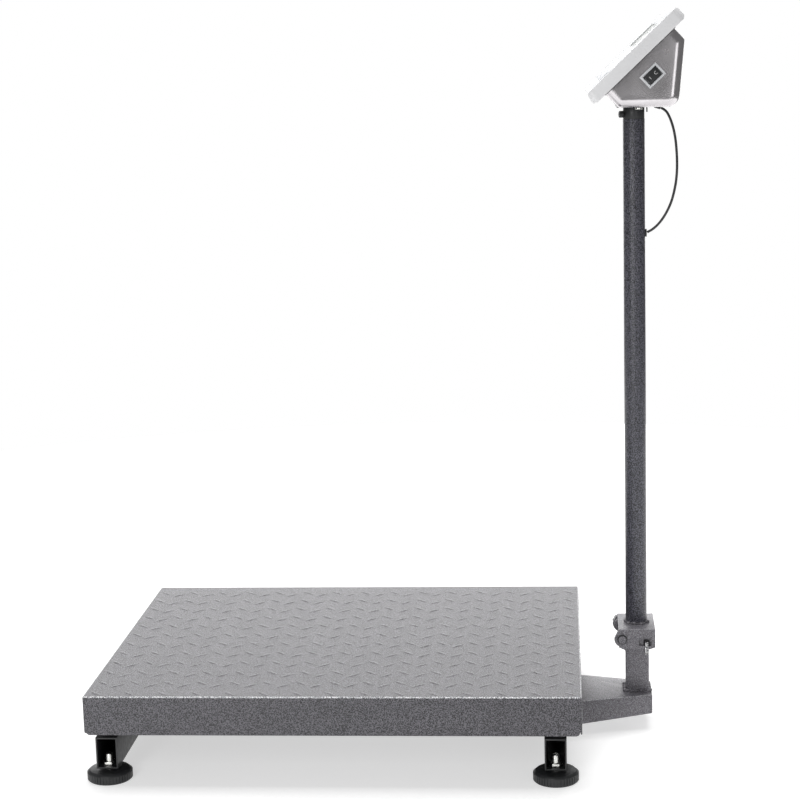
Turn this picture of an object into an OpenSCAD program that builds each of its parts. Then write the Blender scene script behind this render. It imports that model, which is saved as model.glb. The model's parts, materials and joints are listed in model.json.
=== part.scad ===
// Platform shipping scale with a folding column and a tilted indicator.
// +X runs from the platform to the column, +Y across, +Z up. The origin is on the floor,
// at the middle of the whole scale's length, in the upright mid-plane through the column.

/* [Platform] */
// Length of the deck, along X
deck_l = 500; // [400:10:700]
// Width of the deck, along Y
deck_w = 400; // [300:10:600]
// Thickness of the deck's sheet
deck_t = 1.5; // [1:0.1:3]
// Height of the turned-down apron
apron_h = 41; // [30:1:45]
// Radius of the deck's upright corners
deck_corner_r = 2.5; // [2:0.5:8]
// Radius of the lower corners of each apron
apron_r = 3; // [2:0.5:8]

/* [Deck frame] */
// Height of the deck frame's tubes
spine_h = 15; // [12:1:25]
// Width of the tube that runs along the deck
spine_w = 50; // [40:1:70]
// Width of the two tubes that run across
crossbar_w = 20; // [14:1:30]
// Wall of the deck frame's tubes
spine_wall = 1.5; // [1:0.1:3]
// How far the cross tubes stop short of the deck's edge
crossbar_inset = 20; // [12:1:40]
// Thickness of the rubber pads under the deck
pad_t = 4.5; // [3:0.5:8]
// Diameter of the rubber pads
pad_d = 20; // [12:1:20]

/* [Base frame] */
// Width of the two foot rails
rail_w = 22; // [20:1:30]
// Height of the foot rails
rail_h = 33; // [28:1:38]
// Wall of the foot rails
rail_wall = 1.5; // [1:0.1:3]
// How far each rail's end is set back from the deck's edge
rail_setback = 15; // [8:1:40]
// How far each rail's middle is set in from the deck's edge
rail_inset = 23; // [22:1:40]
// How far the base frame sits towards the free end
base_offset = 4; // [0:0.5:4]
// Width of the cross beam that carries the load cell
beam_w = 60; // [50:1:80]
// Height of the cross beam
beam_h = 28; // [24:1:30]
// Wall of the cross beam
beam_wall = 2; // [1.5:0.1:4]

/* [Load cell] */
// Length of the load cell
cell_l = 150; // [120:5:180]
// Width of the load cell
cell_w = 38; // [30:1:44]
// Height of the load cell
cell_h = 25; // [22:1:40]
// Diameter of the two holes that thin the load cell
cell_hole_d = 16; // [10:0.5:18]
// Thickness of the spacers under and over the load cell
spacer_t = 4; // [3:0.5:8]
// Length of each spacer
spacer_l = 36; // [30:1:40]
// Shank diameter of the load cell's bolts
cell_bolt_d = 6; // [5:0.5:8]
// Gap that the overload stops leave under the deck frame
overload_gap = 1; // [0.9:0.1:2]

/* [Levelling feet] */
// Diameter of a foot
foot_d = 46; // [36:1:56]
// Height of a foot's disc
foot_h = 11; // [8:0.5:18]
// Shank diameter of a foot's stud
stud_d = 8; // [6:0.5:10]
// Length of a foot's stud
stud_l = 24; // [20:1:26]
// Gap between a foot and its rail when screwed right in
foot_gap = 2.5; // [0.5:0.5:6]
// Distance of a foot's axis from the end of its rail
foot_inset = 10; // [8:1:30]
// Number of grip ribs round a foot
foot_ribs = 44; // [24:1:48]
// Width of a grip rib
foot_rib_w = 2.2; // [1:0.1:2.6]
// Slope round the top of a foot
foot_bevel = 2; // [1:0.5:3]

/* [Column arm] */
// Distance of the column's axis beyond the deck's edge
mast_reach = 60; // [50:1:90]
// Height of the arm at the rail
arm_root_h = 27; // [24:1:30]
// Height of the arm at its end
arm_end_h = 21; // [16:1:24]
// Width of the arm at the rail
arm_root_w = 98; // [70:1:140]
// Width of the arm at its end
arm_end_w = 47; // [40:1:60]
// How far the arm runs on past the column's axis
arm_past = 16; // [15:1:30]
// Drop of the arm's top below the rails' top
arm_drop = 9; // [6:0.5:12]
// Sheet thickness of the arm
arm_wall = 2; // [1.5:0.1:3]
// Side of the square post
post_w = 24.5; // [22:0.5:28]
// How far the post's middle stands beyond the column's axis
post_set = 0.7; // [0:0.1:1]
// Wall of the square post
post_wall = 2; // [1.5:0.1:3]

/* [Column hinge] */
// Height of the hinge cap's top above the deck
cap_rise = 16.5; // [14:0.5:30]
// Outside width of the hinge cap, along Y
cap_w = 60; // [50:1:80]
// Sheet thickness of the hinge cap
cap_t = 3; // [2:0.5:4]
// Reach of the hinge cap towards the deck, from the column's axis
cap_front = 19.5; // [18:0.5:22]
// Reach of the hinge cap away from the deck, from the column's axis
cap_back = 19; // [18:0.5:24]
// Depth of the hinge cap's side flanges
cap_drop = 22; // [20:0.5:24]
// Distance of the fold axis from the column's axis, towards the deck
pivot_back = 15.8; // [15:0.1:19]
// Distance of the fold axis below the cap's top
pivot_drop = 11; // [10.5:0.1:12]
// Radius of the cap's ears round the fold axis
ear_r = 8.4; // [7:0.1:9]
// Shank diameter of the hinge bolt
bolt_d = 6; // [5:0.5:8]
// Diameter of the clamping knob
knob_d = 17.5; // [16:0.5:30]
// Length of the clamping knob
knob_l = 7; // [6:1:20]
// Width of the latch's window in the cap
window_w = 13.2; // [11:0.1:14]
// Height of the latch's window in the cap
window_h = 8.1; // [6:0.1:9]
// Width of the hinge block's lugs
lug_w = 5; // [4:0.5:10]
// Width of the latch
latch_w = 3.5; // [3:0.5:5]
// How far the latch's tail hangs below its window
latch_tail = 8.4; // [5:0.1:10]

/* [Mast] */
// Length of the mast tube
mast_l = 548.5; // [300:0.5:900]
// Outside diameter of the mast tube
mast_od = 22.5; // [20:0.5:24]
// Wall of the mast tube
mast_wall = 1.5; // [1:0.1:3]
// Height of the black bush's collar on the mast's top
bush_h = 12.5; // [11:0.5:20]
// Wall of the bush inside the tube
bush_wall = 1.2; // [1:0.1:2]
// Depth of the cable hole below the mast's top
cable_hole_drop = 130; // [60:1:200]
// Diameter of the cable hole's grommet
grommet_d = 8; // [6:0.5:10]

/* [Indicator] */
// Tilt of the front face from level, in degrees
tilt = 43; // [20:1:60]
// Length of the bezel up its slope
bezel_l = 119; // [110:1:160]
// Width of the bezel across
bezel_w = 230; // [200:1:280]
// Depth of the bezel
bezel_t = 13; // [13:0.5:20]
// Wall of the bezel
bezel_wall = 2.5; // [2:0.1:3]
// Corner radius of the bezel's face
bezel_r = 8; // [5:0.5:12]
// Width of the steel housing across
housing_w = 206; // [180:1:215]
// Distance of the housing's rim from the bezel's lower edge
rim_low = 13; // [10:0.5:16]
// Length of the housing's rim up the slope
rim_l = 91; // [85:1:95]
// Depth of the housing's lower wall
low_wall = 17.8; // [14:0.1:22]
// Depth of the housing's upper wall
high_wall = 14.7; // [10:0.1:20]
// Length of the housing's level bottom
base_l = 58.4; // [50:0.1:64]
// Sheet thickness of the housing
housing_t = 1; // [0.8:0.1:1.5]
// Distance of the column's axis behind the bottom's front edge
axis_set = 18.2; // [15:0.1:26]
// Thickness of the gasket behind the bezel
gasket_t = 1; // [0.8:0.1:2]
// Thickness of the mounting plate
plate_t = 2; // [1.5:0.1:3]
// Length of the mounting plate, along X
plate_l = 54; // [46:1:56]
// Width of the mounting plate, along Y
plate_w = 70; // [64:1:100]
// Length of the spigot inside the mast
spigot_l = 34; // [24:1:60]

/* [Front panel] */
// Length of the display window up the slope
display_h = 32; // [24:1:36]
// Width of the display window across
display_w = 128; // [100:1:150]
// Length of a key up the slope
key_h = 12; // [10:0.5:14]
// Width of a key across
key_w = 20; // [14:0.5:22]
// Distance between neighbouring keys
key_pitch = 29; // [26:0.5:30]
// How far a key stands out
key_stand = 0.6; // [0.4:0.1:2.5]

/* [Switch] */
// Length of the rocker switch's frame
switch_l = 21; // [19:0.5:24]
// Width of the rocker switch's frame
switch_w = 15; // [13:0.5:18]
// Place of the switch up the slope
switch_u = 58; // [54:1:62]
// Place of the switch behind the front face
switch_v = 32; // [30:0.5:33]

/* [Hidden] */
$fn = 64;

fit = 0.05; // radial clearance of a pin in its own hole
gap = 0.3; // least distance between parts that move past each other
eps = 0.01; // overrun of a cut

// Heights, from the floor up
rail_z = foot_h + foot_gap;
rail_top = rail_z + rail_h;
beam_top = rail_z + beam_h;
cell_z = beam_top + spacer_t;
spine_z = cell_z + cell_h + spacer_t;
deck_under = spine_z + spine_h + pad_t;
deck_z = deck_under + deck_t;
arm_top = rail_top - arm_drop;
cap_top = deck_z + cap_rise;
pivot_z = cap_top - pivot_drop;
flange_z = cap_top - cap_drop;
block_z = flange_z + 1;
neck_z = flange_z - 4;
mast_top = cap_top + mast_l;
plate_z = mast_top + gap;
housing_z = plate_z + plate_t;

// The indicator's own frame: U up its face, V across, W out of it, from the lower front edge
rim_w = -bezel_t - gasket_t;
low_corner = [rim_low, rim_w - low_wall];
base_corner = low_corner + base_l * [cos(tilt), -sin(tilt)];
high_corner = [rim_low + rim_l, rim_w - high_wall];
corner_radii = [5, 12, 3];
face_dx = axis_set + low_corner[0] * cos(tilt) - low_corner[1] * sin(tilt);
face_z = housing_z - low_corner[0] * sin(tilt) - low_corner[1] * cos(tilt);

// Places along X. The deck's place puts the origin at the middle of the whole length
high_centre = corner_centre(base_corner, high_corner, [rim_low + rim_l, rim_w], corner_radii[2]);
back_reach = high_centre[0] * cos(tilt) - high_centre[1] * sin(tilt) + corner_radii[2];
foot_out = max(0, base_offset + foot_d / 2 - rail_inset);
deck_x = (foot_out - (mast_reach - face_dx + back_reach)) / 2;
mast_x = deck_x + deck_l / 2 + mast_reach;
pivot_x = mast_x - pivot_back;
rail_x = [
    deck_x - base_offset - deck_l / 2 + rail_inset,
    deck_x - base_offset + deck_l / 2 - rail_inset
];
rail_l = deck_w - 2 * rail_setback;
crossbar_x = deck_l / 2 - rail_inset - 1;
crossbar_l = deck_w - 2 * crossbar_inset;
arm_x = rail_x[1] + rail_w / 2;
arm_end = mast_x + arm_past;
foot_y = rail_l / 2 - foot_inset;
foot_places = [[0, -1], [1, -1], [0, 1], [1, 1]];
stop_y = foot_y - 28;
block_w = cap_w - 2 * cap_t - 2 * gap;
cable_d = 2.6;
cable_bore = cable_d + 5.4;
shank_r = bolt_d / 2;
mast_r = mast_od / 2;
mast_bore_r = mast_r - mast_wall;
cable_hole_z = mast_top - cable_hole_drop;
screw_z = mast_top - 7.5;
screw_turn = 20;
thumb_r = 2;

// Places of the cap's window, the latch in it and the cable gland
window_x = mast_x + 1.7;
window_z = cap_top - 18.2;
latch_x = window_x + window_w - latch_w - 3.2;
latch_y = -cap_w / 2;
gland_x = mast_x + 21.5;
gland_turn = 112; // turn of the gland's nozzle from straight up
rocker_rest = 8; // tilt of the rocker at rest

// Small standard parts
foot_floor = 3; // solid rubber under a foot's stud
weld_w = 3; // width of the weld bead round the post
washer_t = 1.2;
bolt_head_t = 2.2;
bolt_end = cap_w / 2 + washer_t; // where the hinge bolt's head and the knob begin
latch_t = 1.2;
gland_d = 6; // thread of the cable gland
gland_nut_d = 7;
case_screw_d = 2.5;
mount_screw_d = 4;
socket_r = 4; // barrel of the charger socket
film_t = 0.5; // the front film
film_set = 0.6; // how deep the film lies in the bezel
board_t = 1.6; // the circuit board
button_h = 2.6; // the push buttons on the board
bush_bore_r = mast_bore_r - bush_wall;
spigot_r = bush_bore_r - fit;
tube_top = mast_top - bush_h;

// The free cable, from the gland's mouth to the grommet: how far it reaches beyond the
// column's axis, and the share of its drop
cable_bow = [
    [27.76, 0], [31.06, 0.0157], [34.46, 0.0439], [38.06, 0.1066], [41.06, 0.189], [43.06, 0.2908],
    [44.06, 0.4201], [43.76, 0.5337], [42.06, 0.6356], [38.56, 0.7453], [33.56, 0.8354],
    [27.06, 0.9138], [20.06, 0.9687], [13.36, 1]
];
cable_from = housing_z - 4.2;
cable_drop = cable_from - cable_hole_z - 0.5;
cable_route = [for (p = cable_bow) [mast_x + p[0], 0, cable_from - cable_drop * p[1]]];
// The hidden lead: out of the load cell's fixed end, down into the beam, and through the
// rail and the arm to the post
lead_z = rail_z + 14;
lead_x = deck_x - cell_l / 2 - 14;
lead_route = [
    [deck_x - cell_l / 2, 0, cell_z + 10], [deck_x - cell_l / 2 - 8, 0, cell_z + 9],
    [lead_x, 0, cell_z + 2], [lead_x, 0, beam_top - 4], [lead_x + 4, 0, lead_z + 4],
    [lead_x + 14, 0, lead_z], [deck_x, 0, lead_z], [rail_x[1], 0, lead_z],
    [mast_x - 24, 0, lead_z], [mast_x - 10, 0, lead_z + 1.5], [mast_x - 2, 0, lead_z + 8],
    [mast_x, 0, lead_z + 18], [mast_x, 0, arm_top + 12], [mast_x, 0, neck_z - 2]
];

function unit(v) = v / norm(v);
function corner_centre(a, b, c, r) =
    let (p = unit(a - b), q = unit(c - b), half = acos(p * q) / 2)
    b + unit(p + q) * r / sin(half);
function arc_points(a, b, c, r, n = 8) =
    let (
        o = corner_centre(a, b, c, r),
        reach = norm(o - b) * cos(acos(unit(a - b) * unit(c - b)) / 2),
        p = b + unit(a - b) * reach,
        q = b + unit(c - b) * reach,
        s = atan2(p[1] - o[1], p[0] - o[0]),
        e = atan2(q[1] - o[1], q[0] - o[0]),
        turn = e - s > 180 ? e - s - 360 : (e - s < -180 ? e - s + 360 : e - s)
    )
    [for (i = [0:n]) o + r * [cos(s + turn * i / n), sin(s + turn * i / n)]];

// Rings round a route, each square to the way the route runs there
function heading(points, i) =
    unit(points[min(i + 1, len(points) - 1)] - points[max(i - 1, 0)]);
function ring_at(points, i, r, sides) =
    let (
        t = heading(points, i),
        side = unit(cross(t, abs(t[1]) > 0.9 ? [1, 0, 0] : [0, 1, 0])),
        up = cross(side, t)
    )
    [for (k = [0:sides - 1]) points[i] + r * (cos(360 * k / sides) * side + sin(360 * k / sides) * up)];

// A round tube swept along a route, closed at both ends
module sweep_route(points, d, sides = 8) {
    last = len(points) - 1;
    rings = [for (i = [0:last]) each ring_at(points, i, d / 2, sides)];
    walls = [
        for (i = [0:last - 1], k = [0:sides - 1])
        [i * sides + k, i * sides + (k + 1) % sides, (i + 1) * sides + (k + 1) % sides, (i + 1) * sides + k]
    ];
    start_cap = [for (k = [0:sides - 1]) sides - 1 - k];
    end_cap = [for (k = [0:sides - 1]) last * sides + k];
    polyhedron(rings, concat(walls, [start_cap, end_cap]));
}

// A smooth curve through a route's points, with n steps from each point to the next
function route_point(p, i, t) =
    let (
        a = p[max(i - 1, 0)], b = p[i], c = p[i + 1], d = p[min(i + 2, len(p) - 1)]
    )
    0.5 * (2 * b + (c - a) * t + (2 * a - 5 * b + 4 * c - d) * t * t + (3 * b - a - 3 * c + d) * t * t * t);
function smooth_route(p, n) = concat(
    [for (i = [0:len(p) - 2], k = [0:n - 1]) route_point(p, i, k / n)],
    [p[len(p) - 1]]
);

// A flat plate with rounded corners, centred, rising from z = 0
module rounded_plate(l, w, h, r) {
    linear_extrude(h) {
        square([l - 2 * r, w], center = true);
        square([l, w - 2 * r], center = true);
        for (x = [-1, 1], y = [-1, 1])
            translate([x * (l / 2 - r), y * (w / 2 - r)])
                circle(r);
    }
}

// A rectangular tube along X, with its middle at the origin
module tube_x(l, w, h, wall) {
    difference() {
        cube([l, w, h], center = true);
        cube([l + 2 * eps, w - 2 * wall, h - 2 * wall], center = true);
    }
}

// A cylinder along Y from y0 to y1
module rod_y(r, y0, y1) {
    translate([0, y0, 0])
        rotate([-90, 0, 0])
            cylinder(r = r, h = y1 - y0);
}

// A screw head down: head on top at z = 0, shank below
module screw_down(d, l, head_d, head_h) {
    translate([0, 0, -l])
        cylinder(d = d, h = l + eps);
    cylinder(d = head_d, h = head_h);
}

// ---- Base frame ----

module rail(side) {
    color([0.05, 0.05, 0.055])
        difference() {
            translate([rail_x[side], 0, rail_z + rail_h / 2])
                rotate([0, 0, 90])
                    tube_x(rail_l, rail_w, rail_h, rail_wall);
            for (y = [-1, 1]) {
                translate([rail_x[side], y * foot_y, rail_z - eps])
                    cylinder(d = stud_d + 1, h = rail_wall + 2 * eps);
                translate([deck_x + (2 * side - 1) * crossbar_x, y * stop_y, rail_top - rail_wall - eps])
                    cylinder(d = stud_d + 2 * fit, h = rail_wall + 2 * eps);
            }
            if (side == 1)
                translate([rail_x[1] - rail_w, 0, lead_z])
                    rotate([0, 90, 0])
                        cylinder(d = cable_bore, h = 2 * rail_w);
        }
}

module cross_beam() {
    l = rail_x[1] - rail_x[0] - rail_w;
    mid = (rail_x[0] + rail_x[1]) / 2;
    color([0.06, 0.06, 0.065])
        difference() {
            translate([mid, 0, rail_z + beam_h / 2])
                tube_x(l, beam_w, beam_h, beam_wall);
            cell_bolt_places(-1)
                translate([0, 0, rail_z - eps])
                    cylinder(d = cell_bolt_d + 2 * fit, h = beam_h + 1);
            translate([deck_x - cell_l / 2 - 14, 0, beam_top - beam_wall - eps])
                cylinder(d = cable_bore, h = beam_wall + 2 * eps);
        }
}

// Two bolts across each end of the load cell: -1 is the fixed end, 1 the live end
module cell_bolt_places(end) {
    for (x = [-1, 1])
        translate([deck_x + end * (cell_l / 2 - spacer_l / 2) + x * spacer_l / 4, 0, 0])
            children();
}

module arm_plan(inset) {
    run = arm_end - arm_x;
    shrink = inset * norm([run, (arm_root_w - arm_end_w) / 2]) / run;
    polygon([
        [arm_x - (inset > 0 ? eps : 0), arm_root_w / 2 - shrink],
        [arm_end - inset, arm_end_w / 2 - shrink],
        [arm_end - inset, shrink - arm_end_w / 2],
        [arm_x - (inset > 0 ? eps : 0), shrink - arm_root_w / 2]
    ]);
}

module arm_side(inset) {
    polygon([
        [arm_x - 1, arm_top - inset],
        [arm_end + 1, arm_top - inset],
        [arm_end + 1, arm_top - arm_end_h + inset],
        [arm_x - 1, arm_top - arm_root_h + inset]
    ]);
}

module arm_body(inset) {
    intersection() {
        linear_extrude(rail_top + 10)
            arm_plan(inset);
        translate([0, arm_root_w, 0])
            rotate([90, 0, 0])
                linear_extrude(2 * arm_root_w)
                    arm_side(inset);
    }
}

module column_arm() {
    color([0.36, 0.36, 0.38])
        difference() {
            arm_body(0);
            arm_body(arm_wall);
            translate([mast_x, 0, arm_top - arm_wall - eps])
                cylinder(d = cable_bore, h = arm_wall + 2 * eps);
        }
}

module column_post() {
    h = neck_z - arm_top;
    color([0.36, 0.36, 0.38])
        translate([mast_x + post_set, 0, arm_top + h / 2])
            rotate([0, 90, 0])
                tube_x(h, post_w, post_w, post_wall);
}

module post_weld() {
    side = post_w + 2 * weld_w;
    color([0.36, 0.36, 0.38])
        translate([mast_x + post_set, 0, arm_top])
            difference() {
                linear_extrude(4)
                    square(side, center = true);
                translate([0, 0, -eps])
                    linear_extrude(4 + 2 * eps)
                        square(post_w, center = true);
            }
}

// The block's middle, seen along Y from the column's axis
module block_outline() {
    top = cap_top - cap_t - gap;
    left = -pivot_back + shank_r + 1.5;
    translate([left, block_z])
        square([cap_back - 2 - left, top - block_z]);
}

// One of the block's two lugs round the fold axis
module lug_outline() {
    top = cap_top - cap_t - gap;
    translate([-pivot_back, block_z])
        square([pivot_back, top - block_z]);
    translate([-pivot_back, pivot_z])
        circle(pivot_drop - cap_t - 2 * gap);
}

module block_neck() {
    left = pivot_back + 3;
    near = post_w / 2 - post_set;
    r = left - near - 1;
    translate([-left, neck_z])
        square([left + near, block_z - neck_z + eps]);
    difference() {
        translate([-near - r, neck_z - r])
            square([r, r + eps]);
        translate([-near - r, neck_z - r])
            circle(r);
    }
}

module hinge_block() {
    color([0.36, 0.36, 0.38])
        translate([mast_x, 0, 0])
            difference() {
                union() {
                    rotate([90, 0, 0])
                        translate([0, 0, -block_w / 2])
                            linear_extrude(block_w)
                                block_outline();
                    for (y = [-block_w / 2 + lug_w, block_w / 2])
                        translate([0, y, 0])
                            rotate([90, 0, 0])
                                linear_extrude(lug_w)
                                    lug_outline();
                    rotate([90, 0, 0])
                        translate([0, 0, -post_w / 2])
                            linear_extrude(post_w)
                                block_neck();
                    translate([-post_w / 2 + post_set, -post_w / 2, neck_z])
                        cube([post_w, post_w, block_z - neck_z + eps]);
                }
                translate([-pivot_back, 0, pivot_z])
                    rod_y(shank_r + fit, -cap_w, cap_w);
                translate([0, 0, neck_z - 1])
                    cylinder(d = cable_bore, h = cap_top);
                translate([latch_x - mast_x - 1.5, -block_w / 2 - eps, window_z - 1.5])
                    cube([latch_w + 3, 4.5, cap_top]);
            }
}

module foot_nuts() {
    color([0.75, 0.75, 0.74])
        for (p = foot_places)
            translate([rail_x[p[0]], p[1] * foot_y, rail_z + rail_wall])
                difference() {
                    cylinder(d = stud_d * 1.75, h = 4, $fn = 6);
                    translate([0, 0, -eps])
                        cylinder(d = stud_d + 2 * fit, h = 4 + 2 * eps);
                }
}

module load_cell() {
    neck_x = cell_hole_d * 0.9;
    color([0.80, 0.81, 0.82])
        difference() {
            translate([deck_x, 0, cell_z + cell_h / 2])
                cube([cell_l, cell_w, cell_h], center = true);
            for (x = [-1, 1])
                translate([deck_x + x * neck_x, 0, cell_z + cell_h / 2])
                    rod_y(cell_hole_d / 2, -cell_w, cell_w);
            translate([deck_x, 0, cell_z + cell_h / 2])
                cube([2 * neck_x, 2 * cell_w, 4], center = true);
            for (end = [-1, 1])
                cell_bolt_places(end)
                    translate([0, 0, cell_z - eps])
                        cylinder(d = cell_bolt_d + 2 * fit, h = cell_h + 2 * eps);
        }
}

// A spacer plate at one end of the load cell, drilled for its bolts
module cell_spacer(end, z) {
    difference() {
        translate([deck_x + end * (cell_l - spacer_l) / 2, 0, z + spacer_t / 2])
            cube([spacer_l, cell_w, spacer_t], center = true);
        cell_bolt_places(end)
            translate([0, 0, z - eps])
                cylinder(d = cell_bolt_d + 2 * fit, h = spacer_t + 2 * eps);
    }
}

module cell_base_spacer() {
    color([0.70, 0.70, 0.70])
        cell_spacer(-1, beam_top);
}

module cell_top_spacer() {
    color([0.70, 0.70, 0.70])
        cell_spacer(1, cell_z + cell_h);
}

// The base bolts come up through the beam, with their heads inside it
module cell_base_bolts() {
    color([0.75, 0.75, 0.74])
        cell_bolt_places(-1)
            translate([0, 0, beam_top - beam_wall])
                mirror([0, 0, 1])
                    screw_down(cell_bolt_d, beam_wall + spacer_t + cell_h * 0.7, cell_bolt_d * 1.7, 4);
}

module overload_stops() {
    color([0.75, 0.75, 0.74])
        for (x = [-1, 1], y = [-1, 1])
            translate([deck_x + x * crossbar_x, y * stop_y, 0]) {
                translate([0, 0, rail_top - 8])
                    cylinder(d = stud_d, h = spine_z - overload_gap - 4 - rail_top + 8 + eps);
                translate([0, 0, spine_z - overload_gap - 4])
                    cylinder(d = stud_d * 1.7, h = 4, $fn = 6);
                translate([0, 0, rail_top])
                    cylinder(d = stud_d * 1.9, h = 5, $fn = 6);
            }
}

module arm_cable() {
    color([0.03, 0.03, 0.03])
        sweep_route(lead_route, cable_d);
}

module hinge_cable() {
    color([0.03, 0.03, 0.03])
        sweep_route([for (i = [0:6]) [mast_x, 0, neck_z - 2 + (cap_top + 4 - neck_z) * i / 6]], cable_d);
}

// ---- Deck ----

// Takes the two lower corners off one pair of aprons, seen from their face
module apron_corners(face_l, depth) {
    for (x = [-1, 1])
        translate([x * face_l / 2, depth, deck_z - apron_h])
            rotate([90, 0, 0])
                linear_extrude(2 * depth)
                    difference() {
                        translate([-apron_r, -apron_r])
                            square(2 * apron_r);
                        translate([-x * apron_r, apron_r])
                            circle(apron_r);
                        translate([-apron_r, apron_r])
                            square([2 * apron_r, apron_r]);
                        translate([x > 0 ? -2 * apron_r : apron_r, -apron_r])
                            square([apron_r, 2 * apron_r]);
                    }
}

module deck_cover() {
    color([0.42, 0.42, 0.44])
        translate([deck_x, 0, 0])
            difference() {
                translate([0, 0, deck_z - apron_h])
                    rounded_plate(deck_l, deck_w, apron_h, deck_corner_r);
                translate([0, 0, deck_z - apron_h - eps])
                    rounded_plate(
                        deck_l - 2 * deck_t, deck_w - 2 * deck_t, apron_h - deck_t + eps,
                        deck_corner_r - deck_t + 0.5
                    );
                apron_corners(deck_l, deck_w);
                rotate([0, 0, 90])
                    apron_corners(deck_w, deck_l);
            }
}

module deck_spine() {
    color([0.06, 0.06, 0.065])
        difference() {
            translate([deck_x, 0, spine_z + spine_h / 2])
                tube_x(2 * crossbar_x - crossbar_w, spine_w, spine_h, spine_wall);
            cell_bolt_places(1) {
                translate([0, 0, spine_z - eps])
                    cylinder(d = cell_bolt_d + 2 * fit, h = spine_wall + 2 * eps);
                translate([0, 0, spine_z + spine_wall])
                    cylinder(d = cell_bolt_d * 2.2, h = spine_h);
            }
        }
}

module deck_crossbars() {
    color([0.06, 0.06, 0.065])
        for (x = [-1, 1])
            translate([deck_x + x * crossbar_x, 0, spine_z + spine_h / 2])
                rotate([0, 0, 90])
                    tube_x(crossbar_l, crossbar_w, spine_h, spine_wall);
}

module deck_pads() {
    color([0.04, 0.04, 0.04])
        for (x = [-1, 1], y = [-1, 1])
            translate([deck_x + x * crossbar_x, y * (crossbar_l / 2 - pad_d), spine_z + spine_h])
                cylinder(d = pad_d, h = pad_t);
}

module cell_top_bolts() {
    color([0.75, 0.75, 0.74])
        cell_bolt_places(1)
            translate([0, 0, spine_z + spine_wall])
                screw_down(cell_bolt_d, spine_wall + spacer_t + cell_h * 0.7, cell_bolt_d * 1.7, 4);
}

// ---- Levelling feet ----

module foot_disc(n) {
    p = foot_places[n];
    core_r = foot_d / 2 - 0.8;
    color([0.04, 0.04, 0.045])
        translate([rail_x[p[0]], p[1] * foot_y, 0])
            difference() {
                union() {
                    rotate_extrude()
                        polygon([
                            [0, 0], [foot_d / 2 - 1.5, 0], [core_r, 1], [core_r, foot_h - foot_bevel],
                            [core_r - foot_bevel, foot_h], [0, foot_h]
                        ]);
                    for (i = [0:foot_ribs - 1])
                        rotate([0, 0, 360 * i / foot_ribs])
                            translate([core_r - 1, -foot_rib_w / 2, 1.4])
                                cube([foot_d / 2 - core_r + 1, foot_rib_w, foot_h - foot_bevel - 1.8]);
                }
                translate([0, 0, foot_floor])
                    cylinder(d = stud_d + 2 * fit, h = foot_h);
            }
}

module foot_stud(n) {
    p = foot_places[n];
    color([0.75, 0.75, 0.74])
        translate([rail_x[p[0]], p[1] * foot_y, foot_floor])
            cylinder(d = stud_d, h = stud_l);
}

// ---- Mast and its hinge ----

// One flange of the cap, seen along Y from the column's axis
module flange_outline() {
    translate([-pivot_back, -pivot_drop])
        circle(ear_r);
    polygon([
        [-cap_front, 0], [cap_back, 0], [cap_back, 2 - cap_drop], [cap_back - 6, -cap_drop],
        [-pivot_back, -cap_drop], [-pivot_back - ear_r * 0.5, -pivot_drop - ear_r * 0.86],
        [-pivot_back - ear_r, -pivot_drop], [-pivot_back - ear_r * 0.86, -pivot_drop + ear_r * 0.5]
    ]);
}

module hinge_cap() {
    color([0.36, 0.36, 0.38])
        difference() {
            union() {
                for (y = [-cap_w / 2 + cap_t, cap_w / 2])
                    translate([mast_x, y, cap_top])
                        rotate([90, 0, 0])
                            linear_extrude(cap_t)
                                flange_outline();
                translate([mast_x - cap_front, -cap_w / 2, cap_top - cap_t])
                    cube([cap_front + cap_back, cap_w, cap_t]);
            }
            translate([pivot_x, 0, pivot_z])
                rod_y(shank_r + fit, -cap_w, cap_w);
            translate([mast_x, 0, cap_top - cap_t - eps])
                cylinder(d = cable_bore, h = cap_t + 2 * eps);
            translate([window_x, -cap_w / 2 - eps, window_z])
                cube([window_w, cap_t + 2 * eps, window_h]);
        }
}

module mast_tube() {
    color([0.13, 0.13, 0.15])
        difference() {
            translate([mast_x, 0, cap_top])
                cylinder(d = mast_od, h = mast_l - bush_h);
            translate([mast_x, 0, cap_top - eps])
                cylinder(r = mast_bore_r, h = mast_l);
            translate([mast_x, 0, cable_hole_z])
                rotate([0, 90, 0])
                    cylinder(d = grommet_d - 2, h = mast_od);
        }
}

// A black bush in the mast's top: its collar stands on the tube and takes the thumb screw
module mast_bush() {
    color([0.03, 0.03, 0.03])
        difference() {
            union() {
                translate([mast_x, 0, tube_top])
                    cylinder(r = mast_r - 0.3, h = bush_h);
                translate([mast_x, 0, mast_top - spigot_l - 4])
                    cylinder(r = mast_bore_r - fit, h = spigot_l + 4 - eps);
            }
            translate([mast_x, 0, mast_top - spigot_l - 5])
                cylinder(r = bush_bore_r, h = spigot_l + 6);
            translate([mast_x, 0, screw_z])
                rotate([0, -90, screw_turn])
                    cylinder(r = thumb_r + fit, h = mast_od);
        }
}

module mast_weld() {
    color([0.36, 0.36, 0.38])
        translate([mast_x, 0, cap_top])
            rotate_extrude()
                polygon([[mast_r, 0], [mast_r + 3.5, 0], [mast_r + 2.6, 1.8], [mast_r, 3.5]]);
}

module cable_grommet() {
    color([0.03, 0.03, 0.03])
        difference() {
            translate([mast_x, 0, cable_hole_z])
                rotate([0, 90, 0])
                    cylinder(d = grommet_d, h = mast_r + 1.5);
            translate([mast_x, 0, cable_hole_z - grommet_d])
                cylinder(r = mast_r, h = 2 * grommet_d);
            translate([mast_x, 0, cable_hole_z])
                rotate([0, 90, 0])
                    cylinder(d = cable_d + 0.4, h = mast_od);
        }
}

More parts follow.
